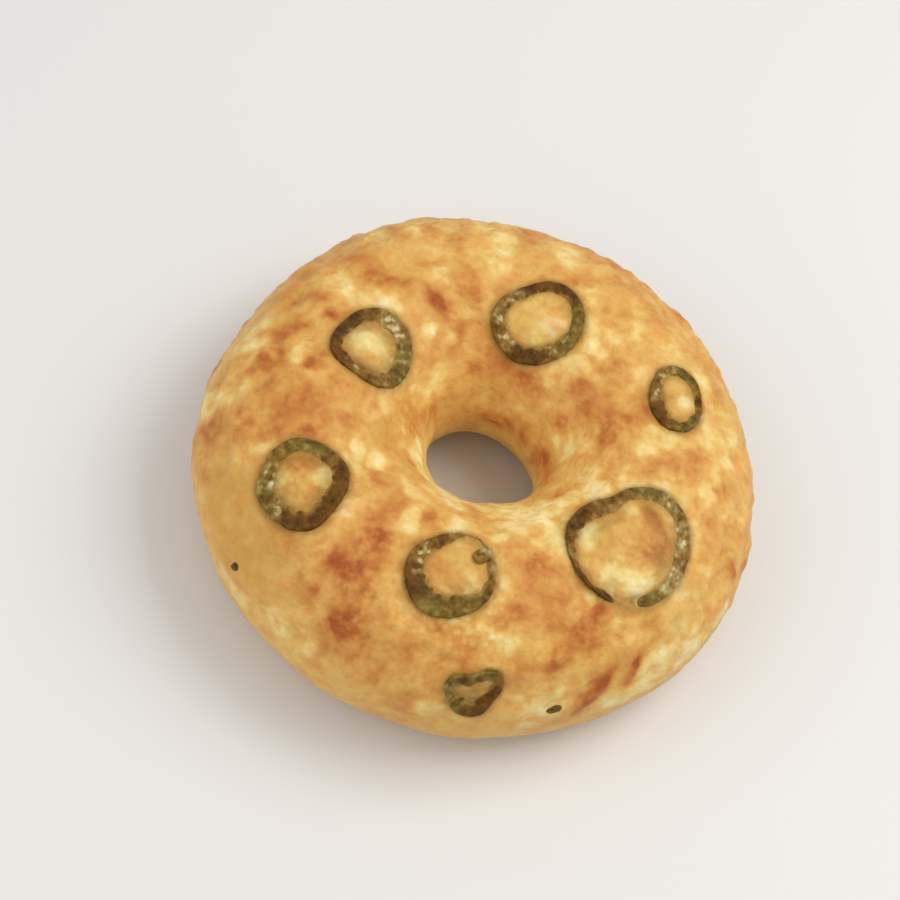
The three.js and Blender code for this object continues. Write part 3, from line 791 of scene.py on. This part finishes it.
def makeSlice(name, ring):
    bpy.ops.mesh.primitive_torus_add(
        major_segments=slices["stepsAround"], minor_segments=slices["stepsAcross"],
        major_radius=ring["size"], minor_radius=ring["wall"] / 2, generate_uvs=False)
    piece = bpy.context.object
    piece.name = "pepperSlice_" + name
    start = readPoints(piece)
    turn = np.arctan2(start[:, 1], start[:, 0])
    section = np.arctan2(start[:, 2], np.hypot(start[:, 0], start[:, 1]) - ring["size"])
    across, up = squareOff(np.cos(section)), squareOff(np.sin(section))
    covered = coverShare(turn, ring)

    skin, width = ringEdges(ring, turn)
    circle = np.stack([np.cos(turn), np.sin(turn), 0 * turn], -1) * ring["size"]
    waver, waverLength = slices["waver"]
    skin = skin + slices["spread"] + waver * mottle(circle, waverLength, 2 * ring["over"])
    drift = mottle(circle, 6 * mm, ring["around"])
    lobes = round(2 * pi * (ring["size"] - ring["wall"]) / slices["lobe"])
    notch = abs(np.sin(lobes * turn / 2 + 2 * drift)) * (0.7 + mottle(circle, 5 * mm, 3 * ring["over"]))
    inner = (width + slices["scallop"] * (0.5 - notch)) * (1 - 0.6 * covered)
    radius = skin - inner * (1 - across) / 2
    slope = 0.4 + 0.6 * smoothStep(across, -1.1, 0.3) + 0.12 * np.exp(-((across - 0.75) / 0.22) ** 2)
    proud = slices["proud"] * slope * (1 + 0.12 * mottle(circle, 4 * mm, ring["over"]))
    proud = proud * (1 - covered) - 0.5 * mm * covered
    lift = np.where(up > 0, up * proud, up * slices["sunk"])
    place = frameAt(ring["around"], ring["over"])
    seat = dropOnBread(place, radius * np.cos(turn), radius * np.sin(turn))
    writePoints(piece, seat + outwardAt(seat) * lift[:, None])

    top = np.clip(up, 0, 1)
    arcs = {kind: arcShare(turn, ring[kind]) for kind in ("pale", "green", "brown", "faded")}
    flesh = weigh(piece, "flesh", top * (1 - 0.5 * (across > 0.7)))
    pith = weigh(piece, "pith", arcs["pale"] * top * smoothStep(0.75 - across, 0, 0.3))
    displace(piece, flesh, *slices["fleshRelief"])
    displace(piece, pith, *slices["pithRelief"])
    keepInside(piece)
    storeFields(piece, across=across, top=top, covered=covered, **arcs)
    bpy.ops.object.shade_smooth()
    return piece


def sliceFinish():
    look = Recipe("bakedPepper", Subsurface_Weight=0.08, Subsurface_Scale=0.002,
                  Subsurface_Radius=(0.6, 0.8, 0.3), Coat_Roughness=0.15, Specular_IOR_Level=0.08)
    across, pale, green, brown = [look.wear(name) for name in ("across", "pale", "green", "brown")]
    top, covered, faded = [look.wear(name) for name in ("top", "covered", "faded")]
    broad, patchy, fine = look.mottle(4 * mm, 1), look.mottle(1.6 * mm, 1), look.mottle(0.7 * mm, 1)
    bits = (0.55 - look.cells(1.6 * mm) + 0.1 * patchy).band(0, 0.3) * pale * (0.6 - across).band(0, 0.4)

    tone = 0.4 + 0.05 * across.band(0.35, 0.9) + 0.08 * (0 - across).band(-0.2, 0.8) + 0.08 * pale
    tone = tone - 0.2 * brown + 0.16 * faded + 0.1 * broad + 0.16 * patchy + 0.06 * fine + 0.3 * bits
    greenness = 0.8 * green + 0.25 * broad + 0.15 * pale
    colour = look.blend(greenness, look.ramp(tone, slices["dull"]), look.ramp(tone, slices["fresh"]))
    rust = (brown + 0.5 * broad + 0.3 * patchy).band(0.6, 1.4)
    colour = look.blend(rust * 0.55, colour, paint(*slices["rust"]))
    colour = look.blend((0.2 * patchy - across).band(0.6, 1) * 0.6, colour, paint(*slices["inner"]))
    colour = look.blend((0.4 - top).band(0, 0.4) * 0.75, colour, paint(*slices["film"]))
    colour = look.blend(covered.band(0.1, 0.9) * 0.9, colour, paint(*slices["film"]))

    normal = look.bump(0.4 * fine + patchy + 2 * bits, 0.15 * mm, 0.5)
    return look.finish(Base_Color=colour, Roughness=0.45 + 0.06 * patchy, Coat_Weight=0.2 * bits,
                       Normal=normal)


seedLoop = {  # a curl of seed flesh inside the front slice
    "around": -77.5, "over": 96.3, "size": 1.7 * mm, "wall": 0.9 * mm,
    "waves": [(2, 0.2 * mm, 30)],
    "bulges": [],
    "thick": (0, 0),
    "thin": [],
    "pale": [],
    "green": [],
    "brown": [],
    "covered": [],
    "faded": [(0, 180)],
}

flecks = {  # around, over, length, width, turn
    "left": (-129.5, 14.4, 2.8 * mm, 1.8 * mm, 70),
    "right": (-56.7, 14.4, 3.2 * mm, 2 * mm, 20),
    "thickness": 1.0 * mm,
    "relief": (0.5 * mm, "CLOUDS", 0.9 * mm),
}


def makeFleck(name):
    around, over, length, width, turn = flecks[name]
    origin, along, inward, out = frameAt(around, over)
    bpy.ops.mesh.primitive_uv_sphere_add(segments=24, ring_count=14, radius=0.5)
    piece = bpy.context.object
    piece.name = "pepperFleck_" + name
    size = Matrix.Diagonal((length, width, flecks["thickness"], 1))
    axes = Matrix((along, inward, out)).transposed().to_4x4()
    axes.translation = Vector(origin)
    piece.data.transform(axes @ Matrix.Rotation(radians(turn), 4, "Z") @ size)
    displace(piece, "", *flecks["relief"])
    storeFields(piece, across=0.5, pale=0, green=0.5, brown=0.5, top=1, covered=0, faded=0)
    bpy.ops.object.shade_smooth()
    return piece


studio = {
    "aim": (0, 0, 0.017),
    "eye": (0, -0.265, 0.441),
    "roll": 22,
    "shift": (-0.0312, 0.0217),
    "lens": 98.26,
    "sensor": 36,
    "key": {"place": (0.34, 0.2, 0.62), "size": 0.45, "energy": 2.8, "tint": (1, 0.97, 0.92)},
    "fill": {"place": (-0.5, -0.45, 0.5), "size": 0.8, "energy": 2.2, "tint": (0.95, 0.97, 1)},
    "sky": 0.58,
    "floor": (226, 225, 222),
}


def facing(place, target, roll=0.0):
    look = (Vector(place) - Vector(target)).to_track_quat("Z", "Y").to_matrix().to_4x4()
    return Matrix.Translation(Vector(place)) @ look @ Matrix.Rotation(radians(roll), 4, "Z")


def makeStage():
    bpy.ops.mesh.primitive_plane_add(size=4)
    floor = bpy.context.object
    floor.name = "floor"
    ground = Recipe("paleFloor", Roughness=0.6)
    floor.data.materials.append(ground.finish(Base_Color=paint(*studio["floor"])))
    for name in ("key", "fill"):
        lamp = studio[name]
        bpy.ops.object.light_add(type="AREA")
        light = bpy.context.object
        light.matrix_world = facing(lamp["place"], studio["aim"])
        light.data.size = lamp["size"]
        light.data.energy = lamp["energy"]
        light.data.color = lamp["tint"]
    scene = bpy.context.scene
    scene.world = bpy.data.worlds.new("paleRoom")
    scene.world.use_nodes = True
    sky = scene.world.node_tree.nodes["Background"].inputs
    sky["Color"].default_value = (1, 1, 1, 1)
    sky["Strength"].default_value = studio["sky"]
    scene.view_settings.view_transform = "Standard"
    bpy.ops.object.camera_add()
    camera = bpy.context.object
    camera.data.lens = studio["lens"]
    camera.data.sensor_width = studio["sensor"]
    camera.data.shift_x, camera.data.shift_y = studio["shift"]
    camera.matrix_world = facing(studio["eye"], studio["aim"], studio["roll"])
    scene.camera = camera


makeStage()
print("stage")

cheese = makeCrust()
cheese.data.materials.append(crustFinish())
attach(cheese, "root")
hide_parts("bagel")

pepper = sliceFinish()
for name, ring in pepperRings.items():
    pepperSlice = makeSlice(name, ring)
    pepperSlice.data.materials.append(pepper)
    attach(pepperSlice, "root")
    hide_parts("pepper_ring_" + name)
for bit in (makeSlice("seedLoop", seedLoop), makeFleck("left"), makeFleck("right")):
    bit.data.materials.append(pepper)
    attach(bit, "root")
print("pepper")
